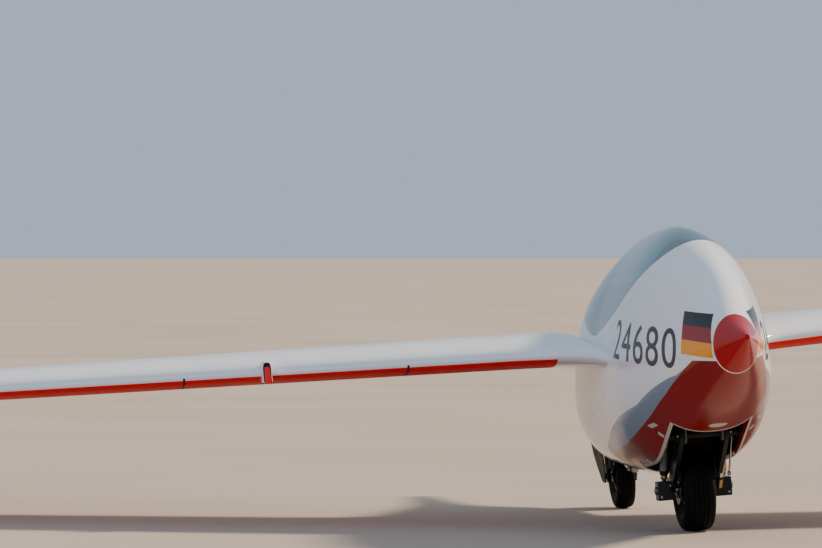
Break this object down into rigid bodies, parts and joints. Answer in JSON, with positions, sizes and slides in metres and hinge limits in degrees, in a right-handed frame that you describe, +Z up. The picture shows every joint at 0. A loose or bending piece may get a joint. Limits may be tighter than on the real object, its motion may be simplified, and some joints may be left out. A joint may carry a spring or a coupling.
{
  "type": "tailless sailplane",
  "caption": "Single-seat tailless sailplane with swept wings, winglets with rudders, elevons, airbrakes, a hinged canopy and two wheels in line, standing on one wing tip skid.",
  "frame": {"origin": "centre of the bounding box at ground level, with the aircraft standing on both wheels and its right wing tip skid", "axes": "+Z up, -Y towards the nose, +X towards the left wing tip; the airframe is banked 4.55 degrees about Y, right wing down"},
  "size_m": [15.0248, 4.25, 2.2889],
  "materials": {
    "white_gelcoat": "gloss",
    "red_gelcoat": "gloss",
    "tinted_acrylic": "clear, blue-green",
    "tyre_rubber": "matt",
    "steel": "satin",
    "chrome_steel": "polished",
    "black_anodised": "anodised",
    "black_trim": "matt",
    "grey_composite": "satin",
    "seat_fabric": "woven"
  },
  "bodies": {
    "airframe": {"nose_cap": "red_gelcoat", "fuselage_shell": "white_gelcoat", "winglet_left": "white_gelcoat", "tip_skid_left": "black_trim", "wing_left": "white_gelcoat", "winglet_right": "white_gelcoat", "tip_skid_right": "black_trim", "wing_pod": "black_trim", "wing_right": "white_gelcoat", "seat_pan": "grey_composite", "seat_cushion": "seat_fabric", "back_cushion": "seat_fabric", "headrest": "seat_fabric", "panel_hood": "black_trim", "instrument_panel": "grey_composite", "control_stick": "black_trim", "rudder_pedals": "black_trim", "front_gear_frame": "black_anodised", "swing_arm_left": "black_anodised", "shock_left": "chrome_steel", "swing_arm_right": "black_anodised", "shock_right": "chrome_steel", "front_axle": "steel", "brake_caliper": "black_anodised", "rear_fork": "black_anodised", "rear_axle": "steel", "rear_gear_door": "black_trim", "tow_hook": "steel"},
    "front_wheel": {"front_tyre": "tyre_rubber", "front_rim": "steel", "brake_disc": "steel"},
    "rear_wheel": {"rear_tyre": "tyre_rubber", "rear_rim": "steel"},
    "canopy": {"canopy_frame": "white_gelcoat", "canopy_glass": "tinted_acrylic"},
    "elevon_left_1": {"elevon_left_1": "white_gelcoat"},
    "elevon_left_2": {"elevon_left_2": "white_gelcoat"},
    "elevon_left_3": {"elevon_left_3": "white_gelcoat"},
    "rudder_left": {"rudder_left": "white_gelcoat"},
    "airbrake_left": {"airbrake_left": "white_gelcoat"},
    "elevon_right_1": {"elevon_right_1": "white_gelcoat"},
    "elevon_right_2": {"elevon_right_2": "white_gelcoat"},
    "elevon_right_3": {"elevon_right_3": "white_gelcoat"},
    "rudder_right": {"rudder_right": "white_gelcoat"},
    "airbrake_right": {"airbrake_right": "white_gelcoat"}
  },
  "joints": [
    {"name": "front_wheel_spin", "type": "hinge", "parent": "airframe", "child": "front_wheel", "pos_m": [0.0783, -0.965, 0.14454], "axis": [0.9968, 0, 0.0793], "continuous": true},
    {"name": "rear_wheel_spin", "type": "hinge", "parent": "airframe", "child": "rear_wheel", "pos_m": [0.08028, 0.518, 0.11962], "axis": [0.9968, 0, 0.0793], "continuous": true},
    {"name": "canopy_hinge", "type": "hinge", "parent": "airframe", "child": "canopy", "pos_m": [0.01362, -1.466, 0.95733], "axis": [0.9968, 0, 0.0793], "range_deg": [0, 45]},
    {"name": "elevon_left_1_hinge", "type": "hinge", "parent": "airframe", "child": "elevon_left_1", "pos_m": [0.66351, 0.15728, 0.6694], "axis": [-0.9661, -0.2428, -0.088], "range_deg": [-20, 20]},
    {"name": "elevon_left_2_hinge", "type": "hinge", "parent": "airframe", "child": "elevon_left_2", "pos_m": [2.78884, 0.69145, 0.86309], "axis": [-0.966, -0.2429, -0.0885], "range_deg": [-20, 20]},
    {"name": "elevon_left_3_hinge", "type": "hinge", "parent": "airframe", "child": "elevon_left_3", "pos_m": [4.97982, 1.24225, 1.06384], "axis": [-0.9661, -0.2425, -0.089], "range_deg": [-20, 20]},
    {"name": "rudder_left_hinge", "type": "hinge", "parent": "airframe", "child": "rudder_left", "pos_m": [7.47738, 1.83568, 1.39545], "axis": [-0.0775, 0.2111, 0.9744], "range_deg": [-25, 25]},
    {"name": "airbrake_left_slide", "type": "slide", "parent": "airframe", "child": "airbrake_left", "axis": [-0.0793, 0, 0.9968], "range_m": [0, 0.06]},
    {"name": "elevon_right_1_hinge", "type": "hinge", "parent": "airframe", "child": "elevon_right_1", "pos_m": [-0.58255, 0.15728, 0.57023], "axis": [-0.9678, 0.2428, -0.0659], "range_deg": [-20, 20]},
    {"name": "elevon_right_2_hinge", "type": "hinge", "parent": "airframe", "child": "elevon_right_2", "pos_m": [-2.71177, 0.69145, 0.42535], "axis": [-0.9679, 0.2429, -0.0654], "range_deg": [-20, 20]},
    {"name": "elevon_right_3_hinge", "type": "hinge", "parent": "airframe", "child": "elevon_right_3", "pos_m": [-4.90692, 1.24225, 0.27706], "axis": [-0.968, 0.2425, -0.0649], "range_deg": [-20, 20]},
    {"name": "rudder_right_hinge", "type": "hinge", "parent": "airframe", "child": "rudder_right", "pos_m": [-7.4255, 1.83568, 0.20948], "axis": [-0.0775, 0.2111, 0.9744], "range_deg": [-25, 25]},
    {"name": "airbrake_right_slide", "type": "slide", "parent": "airframe", "child": "airbrake_right", "axis": [-0.0793, 0, 0.9968], "range_m": [0, 0.06]}
  ]
}
